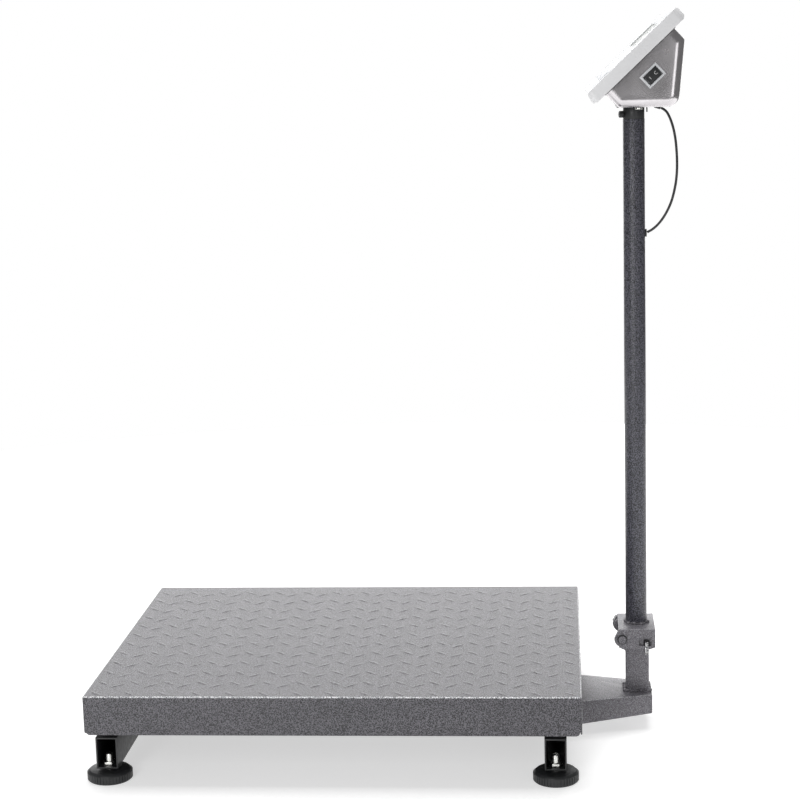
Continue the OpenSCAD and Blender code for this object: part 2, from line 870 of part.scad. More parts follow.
module mast_cable() {
    color([0.03, 0.03, 0.03])
        sweep_route([
            [mast_x, 0, cap_top + 2], [mast_x, 0, cable_hole_z - 60], [mast_x, 0, cable_hole_z - 24],
            [mast_x + 0.5, 0, cable_hole_z - 12], [mast_x + 3, 0, cable_hole_z - 4],
            [mast_x + 7, 0, cable_hole_z], [mast_x + mast_r + 1.5, 0, cable_hole_z]
        ], cable_d);
}

module hinge_bolt() {
    color([0.36, 0.36, 0.38])
        translate([pivot_x, 0, pivot_z]) {
            rod_y(shank_r, -bolt_end, bolt_end + knob_l - 4);
            rod_y(shank_r + 1.1, -bolt_end - bolt_head_t, -bolt_end);
        }
}

module hinge_washers() {
    color([0.40, 0.40, 0.42])
        for (y = [-bolt_end, cap_w / 2])
            translate([pivot_x, 0, pivot_z])
                difference() {
                    rod_y(shank_r + 2.3, y, y + washer_t);
                    rod_y(shank_r + fit, y - 1, y + 3);
                }
}

module hinge_knob() {
    grips = 12;
    color([0.03, 0.03, 0.03])
        translate([pivot_x, 0, pivot_z])
            difference() {
                union() {
                    rod_y(knob_d / 2 - 3, bolt_end, bolt_end + 2);
                    rod_y(knob_d / 2, bolt_end + 2, bolt_end + knob_l);
                }
                for (i = [0:grips - 1])
                    rotate([0, 360 * i / grips, 0])
                        translate([knob_d / 2 + 0.6, 0, 0])
                            rod_y(1.6, bolt_end + 1, bolt_end + knob_l + 1);
                rod_y(shank_r + fit, bolt_end - 1, bolt_end + knob_l - 4);
            }
}

// A bent steel strip that hooks in through the cap's window, with a tail to pull
module latch_lever() {
    color([0.78, 0.78, 0.77])
        translate([latch_x, latch_y, window_z]) {
            translate([0, -latch_t - 0.6, -latch_tail])
                cube([latch_w, latch_t, latch_tail + 4.7]);
            translate([0, -latch_t - 0.6, 3.5])
                cube([latch_w, cap_t + 5, latch_t]);
            translate([0, -latch_t - 2.6, -latch_tail])
                cube([latch_w, 2.6, latch_t]);
        }
}

// ---- Indicator ----

module face_frame() {
    translate([mast_x - face_dx, 0, face_z])
        rotate([0, -tilt, 0])
            children();
}

// The bezel's outline along the slope, seen from its end
module bezel_outline() {
    polygon([
        [2, 0], [0, -2], [-2, -bezel_t + 2], [3, -bezel_t],
        [bezel_l - 3, -bezel_t], [bezel_l, -bezel_t + 2.5], [bezel_l, -2], [bezel_l - 2, 0]
    ]);
}

module key_place(n) {
    translate([24, (n - 2.5) * key_pitch, 0])
        children();
}

module display_place() {
    translate([bezel_l - 22 - display_h / 2, 0, 0])
        children();
}

module case_screw_places() {
    for (u = [rim_low + 6, rim_low + rim_l - 6], v = [-1, 1])
        translate([u, v * (housing_w / 2 - 6), 0])
            children();
}

module indicator_bezel() {
    boss = 4.5;
    color([0.93, 0.93, 0.92])
        face_frame()
            difference() {
                union() {
                    difference() {
                        intersection() {
                            translate([0, bezel_w, 0])
                                rotate([90, 0, 0])
                                    linear_extrude(2 * bezel_w)
                                        bezel_outline();
                            translate([bezel_l / 2 - 1, 0, -bezel_t - 1])
                                rounded_plate(bezel_l + 2, bezel_w, bezel_t + 2, bezel_r);
                        }
                        translate([bezel_l / 2, 0, -bezel_t - eps])
                            rounded_plate(
                                bezel_l - 2 * bezel_wall - 2, bezel_w - 2 * bezel_wall,
                                bezel_t - bezel_wall + eps, bezel_r - bezel_wall
                            );
                    }
                    case_screw_places()
                        translate([0, 0, -bezel_t])
                            cylinder(r = boss, h = bezel_t - bezel_wall + eps);
                }
                case_screw_places()
                    translate([0, 0, -bezel_t - eps])
                        cylinder(d = case_screw_d + 2 * fit, h = 9);
                translate([bezel_l / 2, 0, -film_set])
                    rounded_plate(bezel_l - 14, bezel_w - 18, 2, 4);
                display_place()
                    cube([display_h, display_w, 12], center = true);
                for (n = [0:5])
                    key_place(n)
                        cube([key_h + 2 * gap, key_w + 2 * gap, 12], center = true);
            }
}

module front_overlay() {
    color([0.16, 0.24, 0.40])
        face_frame()
            difference() {
                translate([bezel_l / 2, 0, -film_set])
                    rounded_plate(bezel_l - 14.4, bezel_w - 18.4, film_t, 4);
                display_place()
                    cube([display_h, display_w, 12], center = true);
                for (n = [0:5])
                    key_place(n)
                        cube([key_h + 2 * gap, key_w + 2 * gap, 12], center = true);
            }
}

module display_window() {
    color([0.10, 0.10, 0.10, 0.7])
        face_frame()
            display_place()
                translate([0, 0, -1.6])
                    cube([display_h - 0.2, display_w - 0.2, 2], center = true);
}

module display_module() {
    color([0.25, 0.27, 0.22])
        face_frame()
            display_place()
                translate([0, 0, -bezel_wall - 3.6])
                    cube([display_h + 6, display_w + 8, 6.6], center = true);
}

module main_board() {
    board_w = -bezel_t + board_t;
    color([0.05, 0.32, 0.14])
        face_frame() {
            difference() {
                translate([bezel_l / 2, 0, board_w - board_t])
                    rounded_plate(bezel_l - 24, housing_w - 16, board_t, 2);
                case_screw_places()
                    cylinder(r = 6, h = 60, center = true);
            }
            for (n = [0:5])
                key_place(n)
                    translate([-3, -3, board_w - eps])
                        cube([6, 6, button_h]);
        }
}

module key(n) {
    color([0.86, 0.87, 0.88])
        face_frame()
            key_place(n)
                translate([0, 0, key_stand - (key_stand + 7.4) / 2])
                    cube([key_h, key_w, key_stand + 7.4], center = true);
}

// The steel pan's five corners in the indicator's own frame, from its mouth round to its
// mouth. With an inset each wall is moved in, and the mouth is left open
function pan_corners(inset) =
    let (
        down = unit(base_corner - low_corner),
        back = unit(high_corner - base_corner),
        back_in = [-back[1], back[0]],
        p = low_corner + inset * [-down[1], down[0]],
        q = base_corner + inset * back_in,
        c = p + down * ((q - p) * back_in) / (down * back_in),
        low_u = rim_low + inset,
        high_u = rim_low + rim_l - inset,
        mouth = rim_w + (inset > 0 ? 1 : 0)
    )
    [
        [low_u, mouth],
        [low_u, p[1] + down[1] / down[0] * (low_u - p[0])],
        c,
        [high_u, c[1] + back[1] / back[0] * (high_u - c[0])],
        [high_u, mouth]
    ];

module pan_outline(inset) {
    p = pan_corners(inset);
    polygon([
        p[0],
        for (i = [1:3]) each arc_points(p[i - 1], p[i], p[i + 1], corner_radii[i - 1] - inset),
        p[4]
    ]);
}

module pan_body(inset) {
    w = housing_w - 2 * inset;
    translate([0, w / 2, 0])
        rotate([90, 0, 0])
            linear_extrude(w)
                pan_outline(inset);
}

module switch_place() {
    translate([switch_u, -housing_w / 2, -switch_v])
        children();
}

module charger_place() {
    translate([switch_u, housing_w / 2, -switch_v])
        children();
}

module indicator_housing() {
    color([0.72, 0.72, 0.71])
        difference() {
            face_frame() {
                difference() {
                    pan_body(0);
                    pan_body(housing_t);
                    switch_place()
                        cube([switch_l - 2 + 2 * fit, 8, switch_w - 2 + 2 * fit], center = true);
                    charger_place()
                        rod_y(socket_r + fit, -4, 4);
                }
                // The lip that the bezel screws down on
                difference() {
                    translate([rim_low + rim_l / 2, 0, rim_w - housing_t])
                        rounded_plate(rim_l - 2 * housing_t, housing_w - 2 * housing_t, housing_t, 1);
                    translate([rim_low + rim_l / 2, 0, rim_w - 2 * housing_t])
                        rounded_plate(rim_l - 22, housing_w - 22, 3 * housing_t, 3);
                    case_screw_places()
                        cylinder(d = case_screw_d + 2 * fit, h = 80, center = true);
                }
            }
            mount_screw_places()
                cylinder(d = mount_screw_d + 2 * fit, h = 8, center = true);
            translate([gland_x, 0, housing_z])
                cylinder(d = gland_d + 2 * fit, h = 8, center = true);
        }
}

module bezel_gasket() {
    color([0.03, 0.03, 0.03])
        face_frame()
            difference() {
                translate([rim_low + rim_l / 2, 0, rim_w])
                    rounded_plate(rim_l + 2, housing_w + 2, gasket_t, 3);
                translate([rim_low + rim_l / 2, 0, rim_w - 1])
                    rounded_plate(rim_l - 24, housing_w - 24, gasket_t + 2, 3);
                case_screw_places()
                    cylinder(d = case_screw_d + 2 * fit, h = 80, center = true);
            }
}

module battery() {
    color([0.10, 0.20, 0.45])
        translate([mast_x - 10, -35, housing_z + 6])
            cube([38, 70, 18]);
}

module mount_screw_places() {
    for (y = [-1, 1])
        translate([mast_x + 4, y * 26, housing_z])
            children();
}

module mount_plate() {
    color([0.05, 0.05, 0.055])
        difference() {
            union() {
                translate([mast_x - axis_set + plate_l / 2, 0, plate_z])
                    rounded_plate(plate_l, plate_w, plate_t, 4);
                translate([mast_x, 0, plate_z - spigot_l])
                    cylinder(r = spigot_r, h = spigot_l + eps);
                // A folded lip that keeps the cable off the column
                translate([mast_x + mast_r + 1.5, -5, plate_z - 6])
                    cube([1.2, 10, 6 + eps]);
            }
            translate([mast_x, 0, plate_z - spigot_l - 1])
                cylinder(r = spigot_r - 2, h = spigot_l + plate_t + 2);
            mount_screw_places()
                cylinder(d = mount_screw_d + 2 * fit, h = 8, center = true);
            translate([gland_x, 0, plate_z - 1])
                cylinder(d = gland_nut_d + 7.5, h = 8);
        }
}

// Four screws from inside the housing, through its lip and the gasket into the bezel's
// bosses, and two bolts with nuts that hold the mounting plate
module indicator_screws() {
    color([0.75, 0.75, 0.74]) {
        face_frame()
            case_screw_places()
                translate([0, 0, rim_w - housing_t])
                    mirror([0, 0, 1])
                        screw_down(case_screw_d, housing_t + gasket_t + 7, 2 * case_screw_d, 2);
        mount_screw_places() {
            translate([0, 0, -plate_t])
                mirror([0, 0, 1])
                    screw_down(mount_screw_d, plate_t + housing_t + 4, 7.5, 2.4);
            translate([0, 0, housing_t])
                difference() {
                    cylinder(d = 2 * mount_screw_d, h = 3, $fn = 6);
                    translate([0, 0, -1])
                        cylinder(d = mount_screw_d + 2 * fit, h = 8);
                }
        }
    }
}

// A strain relief whose nozzle points down and away from the column
module cable_gland() {
    color([0.03, 0.03, 0.03])
        translate([gland_x, 0, housing_z]) {
            translate([0, 0, -3])
                cylinder(d = gland_nut_d, h = 3);
            translate([0, 0, -eps])
                cylinder(d = gland_d, h = 4);
            translate([0, 0, -1.6])
                rotate([0, gland_turn, 0])
                    cylinder(d1 = 5, d2 = 4, h = 6.4);
        }
}

module charger_socket() {
    color([0.03, 0.03, 0.03])
        face_frame()
            charger_place()
                difference() {
                    union() {
                        rod_y(5.5, 0, 1.5);
                        rod_y(socket_r, -11, eps);
                    }
                    difference() {
                        rod_y(2.8, -9, 2);
                        rod_y(0.9, -10, 1);
                    }
                }
}

// The switch's case behind the wall and its frame in front, with a well for the rocker
module switch_body() {
    color([0.82, 0.82, 0.82])
        face_frame()
            switch_place()
                difference() {
                    union() {
                        translate([0, -0.9, 0])
                            cube([switch_l, 1.8, switch_w], center = true);
                        translate([0, 6.5, 0])
                            cube([switch_l - 2, 13, switch_w - 2], center = true);
                    }
                    translate([0, 0, 0])
                        cube([switch_l - 4, 10, switch_w - 4], center = true);
                    translate([0, 1.5, -switch_w])
                        cylinder(d = 2 + 2 * fit, h = 2 * switch_w);
                }
}

// The rocker turns on a small cross pin; at rest its upper end is pressed in
module switch_rocker() {
    side = switch_w - 4 - 2 * gap;
    color([0.03, 0.03, 0.035])
        face_frame()
            switch_place()
                translate([0, 1.5, 0]) {
                    translate([0, 0, -switch_w / 2 + 1.4])
                        cylinder(d = 2, h = switch_w - 2.8);
                    rotate([0, 0, rocker_rest])
                        translate([0, 0, -side / 2])
                            linear_extrude(side)
                                polygon([
                                    [-7.4, -1.6], [-7.2, -3.2], [0, -2.3], [7.2, -3.2], [7.4, -1.6],
                                    [3, 1.8], [-3, 1.8]
                                ]);
                }
}

module thumb_screw() {
    color([0.03, 0.03, 0.03])
        translate([mast_x, 0, screw_z])
            rotate([0, -90, screw_turn]) {
                translate([0, 0, bush_bore_r + gap])
                    cylinder(r = thumb_r, h = mast_r - bush_bore_r + 1);
                difference() {
                    translate([0, 0, mast_r + gap])
                        cylinder(d = 7, h = 4);
                    for (i = [0:9])
                        rotate([0, 0, 36 * i])
                            translate([3.8, 0, mast_r])
                                cylinder(d = 1.2, h = 6);
                }
            }
}

module signal_cable() {
    color([0.03, 0.03, 0.03])
        sweep_route(smooth_route(cable_route, 2), cable_d);
}

rail(0);  // left_rail
rail(1);  // right_rail
cross_beam();
column_arm();
column_post();
post_weld();
hinge_block();
foot_nuts();
load_cell();
cell_base_spacer();
cell_base_bolts();
overload_stops();
arm_cable();
deck_cover();
deck_spine();
deck_crossbars();
deck_pads();
cell_top_spacer();
cell_top_bolts();
mast_tube();
mast_bush();
hinge_cap();
mast_weld();
cable_grommet();
mast_cable();
hinge_cable();
hinge_bolt();
hinge_washers();
hinge_knob();
latch_lever();
indicator_housing();
indicator_bezel();
bezel_gasket();
front_overlay();
display_window();
display_module();
main_board();
battery();
mount_plate();
indicator_screws();
switch_body();
switch_rocker();
cable_gland();
charger_socket();
thumb_screw();
key(0);  // key_1
key(1);  // key_2
key(2);  // key_3
key(3);  // key_4
key(4);  // key_5
key(5);  // key_6
signal_cable();
foot_disc(0);  // foot_disc_1
foot_disc(1);  // foot_disc_2
foot_disc(2);  // foot_disc_3
foot_disc(3);  // foot_disc_4
foot_stud(0);  // foot_stud_1
foot_stud(1);  // foot_stud_2
foot_stud(2);  // foot_stud_3
foot_stud(3);  // foot_stud_4
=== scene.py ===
import json
import math
import random

import bmesh
import bpy
from mathutils import Matrix, Vector


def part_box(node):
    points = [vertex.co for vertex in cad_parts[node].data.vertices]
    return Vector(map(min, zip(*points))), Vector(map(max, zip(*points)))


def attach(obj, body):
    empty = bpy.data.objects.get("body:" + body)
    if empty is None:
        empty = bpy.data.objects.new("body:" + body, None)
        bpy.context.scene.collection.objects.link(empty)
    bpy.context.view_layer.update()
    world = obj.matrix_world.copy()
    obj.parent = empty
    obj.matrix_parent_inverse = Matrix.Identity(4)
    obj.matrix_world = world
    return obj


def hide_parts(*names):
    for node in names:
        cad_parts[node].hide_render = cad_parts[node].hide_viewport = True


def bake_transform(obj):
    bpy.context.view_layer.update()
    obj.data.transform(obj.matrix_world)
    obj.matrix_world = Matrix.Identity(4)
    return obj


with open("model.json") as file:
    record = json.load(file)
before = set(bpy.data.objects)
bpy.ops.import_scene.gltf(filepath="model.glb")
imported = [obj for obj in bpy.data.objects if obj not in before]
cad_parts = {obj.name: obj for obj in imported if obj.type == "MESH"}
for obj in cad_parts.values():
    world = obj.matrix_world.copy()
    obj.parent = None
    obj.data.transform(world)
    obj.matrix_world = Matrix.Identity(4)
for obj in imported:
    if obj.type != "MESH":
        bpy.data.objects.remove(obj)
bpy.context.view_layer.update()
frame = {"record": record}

MM = 0.001

# ---- Camera and studio ----
# A long lens looks slightly down on the scale's free corner, as in a catalogue.
# The room is a pale sweep under broad soft lights.

LENS_MM = 88.18
CAMERA_AT = (0.18437, -2.04497, 0.73081)
LOOK_LEFT = math.radians(4.866)
LOOK_DOWN = math.radians(10.320)
CAMERA_ROLL = math.radians(-1.532)

camera_data = bpy.data.cameras.new("catalogue_lens")
camera_data.lens = LENS_MM
camera_data.sensor_width = 36.0
camera = bpy.data.objects.new("catalogue_camera", camera_data)
bpy.context.scene.collection.objects.link(camera)
forward = Vector((
    -math.sin(LOOK_LEFT) * math.cos(LOOK_DOWN),
    math.cos(LOOK_LEFT) * math.cos(LOOK_DOWN),
    -math.sin(LOOK_DOWN),
))
level = Vector((math.cos(LOOK_LEFT), math.sin(LOOK_LEFT), 0.0))
upward = level.cross(forward)
right = math.cos(CAMERA_ROLL) * level + math.sin(CAMERA_ROLL) * upward
upward = -math.sin(CAMERA_ROLL) * level + math.cos(CAMERA_ROLL) * upward
turn = Matrix((right, upward, -forward)).transposed().to_4x4()
camera.matrix_world = Matrix.Translation(CAMERA_AT) @ turn
bpy.context.scene.camera = camera

bpy.context.scene.view_settings.view_transform = "Standard"


class Value:
    """One shader socket. A sum or a product on it adds its Math node."""

    def __init__(self, tree, socket):
        self.tree = tree
        self.socket = socket

    def math(self, operation, other):
        maths = self.tree.nodes.new("ShaderNodeMath")
        maths.operation = operation
        self.tree.links.new(self.socket, maths.inputs[0])
        if isinstance(other, Value):
            self.tree.links.new(other.socket, maths.inputs[1])
        else:
            maths.inputs[1].default_value = other
        return Value(self.tree, maths.outputs[0])

    def __add__(self, other):
        return self.math("ADD", other)

    def __mul__(self, other):
        return self.math("MULTIPLY", other)

    __radd__ = __add__
    __rmul__ = __mul__


class Finish:
    """A material with one Principled shader, and the nodes that feed it."""

    def __init__(self, name, **constants):
        self.material = bpy.data.materials.new(name)
        self.material.use_nodes = True
        self.tree = self.material.node_tree
        self.shader = self.tree.nodes["Principled BSDF"]
        for socket, value in constants.items():
            self.set(socket.replace("_", " ").title().replace("Ior", "IOR"), value)

    def node(self, kind, settings=None, sockets=None, out=0):
        """Adds a node: its settings first, then the values or links of its sockets."""
        made = self.tree.nodes.new(kind)
        for key, value in (settings or {}).items():
            if key == "stops":
                ramp = made.color_ramp
                while len(ramp.elements) < len(value):
                    ramp.elements.new(0.5)
                for element, (at, tone) in zip(ramp.elements, value):
                    element.position = at
                    colour = tone if isinstance(tone, tuple) else (tone, tone, tone)
                    element.color = (*colour, 1.0)
            else:
                setattr(made, key, value)
        for key, value in (sockets or {}).items():
            if isinstance(value, Value):
                self.tree.links.new(value.socket, made.inputs[key])
            else:
                made.inputs[key].default_value = value
        return Value(self.tree, made.outputs[out])

    def set(self, socket, value):
        if isinstance(value, Value):
            self.tree.links.new(value.socket, self.shader.inputs[socket])
        elif isinstance(value, tuple) and len(value) == 3:
            self.shader.inputs[socket].default_value = (*value, 1.0)
        else:
            self.shader.inputs[socket].default_value = value

    def place(self, turn=(0.0, 0.0, 0.0), stretch=(1.0, 1.0, 1.0)):
        """Object coordinates, turned and stretched."""
        where = self.node("ShaderNodeTexCoord", out="Object")
        return self.node(
            "ShaderNodeMapping", {}, {"Vector": where, "Rotation": turn, "Scale": stretch}
        )

    def noise(self, scale, detail=2.0, roughness=0.5, where=None):
        return self.node(
            "ShaderNodeTexNoise", {},
            {"Vector": where or self.place(), "Scale": scale, "Detail": detail, "Roughness": roughness},
            out="Fac",
        )

    def cells(self, scale, where=None):
        return self.node(
            "ShaderNodeTexVoronoi", {}, {"Vector": where or self.place(), "Scale": scale},
            out="Distance",
        )

    def ramp(self, value, *stops):
        return self.node("ShaderNodeValToRGB", {"stops": stops}, {"Fac": value})

    def mix(self, factor, a, b):
        """Colour a where the factor is 0, and colour b where it is 1."""
        a, b = ((*tone, 1.0) if isinstance(tone, tuple) else tone for tone in (a, b))
        return self.node("ShaderNodeMix", {"data_type": "RGBA"}, {0: factor, 6: a, 7: b}, out=2)

    def bump(self, height, strength, distance):
        self.set("Normal", self.node(
            "ShaderNodeBump", {}, {"Height": height, "Strength": strength, "Distance": distance}
        ))


def soft_light(name, at, aim, size, power):
    """A soft box at a place, facing another."""
    data = bpy.data.lights.new(name, "AREA")
    data.shape = "RECTANGLE"
    data.size, data.size_y = size
    data.energy = power
    lamp = bpy.data.objects.new(name, data)
    bpy.context.scene.collection.objects.link(lamp)
    lamp.location = at
    lamp.visible_camera = False
    lamp.rotation_euler = (Vector(aim) - Vector(at)).to_track_quat("-Z", "Y").to_euler()


soft_light("overhead_box", (0.0, 0.6, 2.6), (0.0, 0.0, 0.1), (2.6, 2.0), 88.0)
soft_light("front_box", (-0.75, -2.6, 1.0), (0.2, 0.0, 0.4), (0.45, 1.8), 26.0)
soft_light("low_fill", (1.5, -2.6, 0.5), (0.2, 0.0, 0.6), (1.2, 0.6), 5.0)
soft_light("back_wall", (0.0, 3.2, 0.75), (0.0, 0.0, 0.1), (3.6, 1.4), 36.0)

# The room looks white, but lights the scale only dimly, so that the soft boxes shape it.
ROOM_LIGHT = 0.20
ROOM_SEEN = 1.0
world = bpy.data.worlds.new("pale_room")
bpy.context.scene.world = world
world.use_nodes = True
room = world.node_tree
background = room.nodes["Background"]
background.inputs["Color"].default_value = (1.0, 1.0, 1.0, 1.0)
rays = room.nodes.new("ShaderNodeLightPath")
seen = room.nodes.new("ShaderNodeMix")
seen.inputs[2].default_value = ROOM_LIGHT
seen.inputs[3].default_value = ROOM_SEEN
room.links.new(rays.outputs["Is Camera Ray"], seen.inputs[0])
room.links.new(seen.outputs[0], background.inputs["Strength"])

FLOOR_RADIUS = 1.7
floor_mesh = bmesh.new()
bmesh.ops.create_circle(floor_mesh, cap_ends=True, segments=96, radius=FLOOR_RADIUS)
floor_data = bpy.data.meshes.new("floor")
floor_mesh.to_mesh(floor_data)
floor_mesh.free()
floor = bpy.data.objects.new("floor", floor_data)
bpy.context.scene.collection.objects.link(floor)
floor_paint = Finish("pale_floor", roughness=0.9, specular_ior_level=0.05, emission_strength=1.0)
floor_paint.set("Base Color", floor_paint.ramp(
    floor_paint.noise(3.0), (0.3, (0.60, 0.60, 0.60)), (0.7, (0.62, 0.62, 0.62))
))
# The floor's own glow is full at its rim, where it meets the room, and lower at the scale.
nearness = floor_paint.node(
    "ShaderNodeTexGradient", {"gradient_type": "SPHERICAL"},
    {"Vector": floor_paint.place(stretch=(0.5, 0.5, 0.5))}, out="Fac",
)
floor_paint.set("Emission Color", floor_paint.ramp(nearness, (0.28, 1.0), (0.72, 0.56)))
floor_data.materials.append(floor_paint.material)

# ---- Signal cable ----
# A thin black cable hangs in a bow from the gland under the indicator and goes back
# into the column through a rubber grommet. It is extruded PVC over a screened core.

CABLE_D = 2.6 * MM
cable_route = [
    (286.7, 0, 658.6), (290, 0, 656.6), (293.4, 0, 653), (297, 0, 645), (300, 0, 634.5),
    (302, 0, 621.5), (303, 0, 605), (302.7, 0, 590.5), (301, 0, 577.5), (297.5, 0, 563.5),
    (292.5, 0, 552), (286, 0, 542), (279, 0, 535), (272.3, 0, 531),
]


def smooth_line(points, steps):
    """A smooth curve through points, with some steps from each to the next."""
    points = [Vector(p) * MM for p in points]
    line = []
    for i in range(len(points) - 1):
        a, b = points[max(i - 1, 0)], points[i]
        c, d = points[i + 1], points[min(i + 2, len(points) - 1)]
        for k in range(steps):
            t = k / steps
            line.append(0.5 * (
                2 * b + (c - a) * t + (2 * a - 5 * b + 4 * c - d) * t * t
                + (3 * b - a - 3 * c + d) * t ** 3
            ))
    line.append(points[-1])
    return line


def keep(piece, body, finish=None, hides=()):
    """Puts a finished piece on its body and its material."""
    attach(piece, body)
    if finish is not None:
        piece.data.materials.clear()
        piece.data.materials.append(finish.material)
    if hides:
        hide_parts(*hides)
    return piece


def new_piece(name, bm, merge=0.00001, outwards=True):
    """Makes an object of a bmesh, with its doubles merged and its faces outwards."""
    if merge:
        bmesh.ops.remove_doubles(bm, verts=bm.verts, dist=merge)
    if outwards:
        bmesh.ops.recalc_face_normals(bm, faces=bm.faces)
    data = bpy.data.meshes.new(name)
    bm.to_mesh(data)
    bm.free()
    data.polygons.foreach_set("use_smooth", [True] * len(data.polygons))
    data.set_sharp_from_angle(angle=math.radians(35))
    piece = bpy.data.objects.new(name, data)
    bpy.context.scene.collection.objects.link(piece)
    return piece


def tube_along(name, line, radius, sides=16):
    """A round tube swept along a line of points, closed at both ends."""
    bm = bmesh.new()
    ring = bmesh.ops.create_circle(bm, cap_ends=False, segments=sides, radius=radius)["verts"]
    last = None
    for i, point in enumerate(line):
        ahead = (line[min(i + 1, len(line) - 1)] - line[max(i - 1, 0)]).normalized()
        across = Vector((0, 1, 0)) if abs(ahead.y) < 0.9 else Vector((1, 0, 0))
        side = ahead.cross(across).normalized()
        frame_turn = Matrix((side, side.cross(ahead) * -1, ahead)).transposed().to_4x4()
        if i:
            angles = [2 * math.pi * k / sides for k in range(sides)]
            ring = [bm.verts.new((radius * math.cos(a), radius * math.sin(a), 0)) for a in angles]
        bmesh.ops.transform(bm, matrix=Matrix.Translation(point) @ frame_turn, verts=ring)
        edges = []
        for a, b in zip(ring, ring[1:] + ring[:1]):
            edges.append(bm.edges.get((a, b)) or bm.edges.new((a, b)))
        if last:
            bmesh.ops.bridge_loops(bm, edges=last + edges)
        else:
            bmesh.ops.contextual_create(bm, geom=edges)
        last = edges
    bmesh.ops.contextual_create(bm, geom=last)
    return new_piece(name, bm, merge=0)


jacket = Finish("cable_jacket", roughness=0.42)
jacket.set("Base Color", jacket.ramp(
    jacket.noise(90.0), (0.3, (0.012, 0.012, 0.013)), (0.7, (0.022, 0.022, 0.024))
))
jacket.bump(jacket.noise(1500.0), 0.15, 0.0002)

cable_line = smooth_line(cable_route, 5)
cable_length = sum((b - a).length for a, b in zip(cable_line, cable_line[1:]))
cable = tube_along("cable_bow", cable_line, CABLE_D / 2)
cable.data.materials.append(jacket.material)
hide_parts("signal_cable")
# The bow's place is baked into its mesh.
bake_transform(cable)

# The hidden lead from the load cell runs through the beam, the arm and the column.
for node in ("arm_cable", "mast_cable"):
    bpy.data.objects[node].data.materials.clear()
    bpy.data.objects[node].data.materials.append(jacket.material)


# ---- Deck ----
# The platform's cover is a folded tread plate under a hammered dark grey powder coat.
# Slanted lugs in a herringbone stand up a little from its top and run down its aprons.

DECK_SHEET = 1.5 * MM
BEND_R = 2.0 * MM
CORNER_R = 4.0 * MM
LUG_PITCH_X = 34.0 * MM
LUG_PITCH_Y = 33.0 * MM
LUG_LENGTH = 21.0 * MM
LUG_WIDTH = 5.0 * MM
LUG_RISE = 0.4 * MM
APRON_LUG_RISE = 0.35 * MM
LUG_MARGIN = 9.0 * MM
LUG_SINK = 0.02 * MM
SKIN_INSET = 0.4 * MM
CORNER_START = 2.6 * MM
CORNER_CUTS = (2.7, 3.4, 4.2, 5.2, 6.6)


def hammered(name, dark, light, speck, gloss=0.30, grain=850.0, contrast=0.85):
    """Hammered powder coat: small glossy dimples, finer with more grain, and pale flecks."""
    coat = Finish(name)
    where = coat.place()
    dimple = coat.cells(grain, where=where)
    fine = coat.noise(grain * 1.3, 3.0, 0.6, where)
    broad = coat.noise(9.0, 2.0, 0.5, where)
    fleck = coat.ramp(dimple * 0.35 + fine * 0.8, (0.52, 0.0), (0.66, 1.0))
    tone = coat.mix(coat.ramp(broad, (0.35, 0.0), (0.65, 1.0)), dark, light)
    coat.set("Base Color", coat.mix(fleck * contrast, tone, speck))
    coat.set("Roughness", coat.ramp(fine, (0.3, gloss - 0.06), (0.7, gloss + 0.10)))
    coat.bump(dimple + fine * 0.6, 0.6, 0.00035)
    return coat


deck_coat = hammered(
    "deck_coat", (0.010, 0.010, 0.012), (0.014, 0.013, 0.016), (0.16, 0.155, 0.175)
)
# A much paler copy of the coat, used as a painted highlight on the rounded upper folds where they catch
# the overhead light.
fold_highlight_paint = hammered(
    "fold_highlight_paint", (0.10, 0.10, 0.11), (0.16, 0.16, 0.17), (0.80, 0.80, 0.82), 0.28, contrast=1.0
)


def paint_fold_highlight(piece, finish, flattest=0.94, steepest=0.30):
    """Paints a highlight on the rounded upper folds of a piece, with a much paler copy of the coat."""
    piece.data.materials.append(finish.material)
    for face in piece.data.polygons:
        if steepest < face.normal.z < flattest:
            face.material_index = 1


deck_low, deck_high = (Vector(c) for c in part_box("deck_cover"))
deck_mid = (deck_low + deck_high) / 2
deck_size = deck_high - deck_low

sheet = bmesh.new()
bmesh.ops.create_cube(sheet, size=1.0)
skin_size = deck_size - SKIN_INSET * Vector((2, 2, 1))
bmesh.ops.scale(sheet, vec=skin_size, verts=sheet.verts)
bmesh.ops.translate(sheet, vec=deck_mid - Vector((0, 0, SKIN_INSET / 2)), verts=sheet.verts)
bottom = [f for f in sheet.faces if f.normal.z < -0.9]
bmesh.ops.delete(sheet, geom=bottom, context="FACES_ONLY")
bent = [e for e in sheet.edges if not e.is_boundary]
bmesh.ops.bevel(
    sheet, geom=bent, offset=BEND_R, segments=5, profile=0.5, material=-1, affect="EDGES",
    clamp_overlap=True,
)
# Cuts near each end of an apron let its lower corners be rounded.
for axis in (0, 1):
    for end in (deck_low, deck_high):
        inward = 1 if end is deck_low else -1
        for away in CORNER_CUTS:
            at = end.copy()
            at[axis] += inward * away * MM
            plane = Vector((0, 0, 0))
            plane[axis] = 1
            everything = sheet.verts[:] + sheet.edges[:] + sheet.faces[:]
            bmesh.ops.bisect_plane(sheet, geom=everything, plane_co=at, plane_no=plane)
for vert in sheet.verts:
    if vert.co.z < deck_low.z + 0.0001:
        edge_x = min(vert.co.x - deck_low.x, deck_high.x - vert.co.x)
        edge_y = min(vert.co.y - deck_low.y, deck_high.y - vert.co.y)
        along = max(edge_x, edge_y)
        short = min(CORNER_R + CORNER_START - along, CORNER_R)
        if short > 0:
            vert.co.z += CORNER_R - math.sqrt(CORNER_R ** 2 - short ** 2)
bmesh.ops.recalc_face_normals(sheet, faces=sheet.faces)
bmesh.ops.solidify(sheet, geom=sheet.faces[:], thickness=DECK_SHEET)
deck_skin = new_piece("deck_skin", sheet, outwards=False)
keep(deck_skin, "deck", deck_coat, ("deck_cover",))
# The cover's rounded upper folds get the painted highlight.
paint_fold_highlight(deck_skin, fold_highlight_paint)

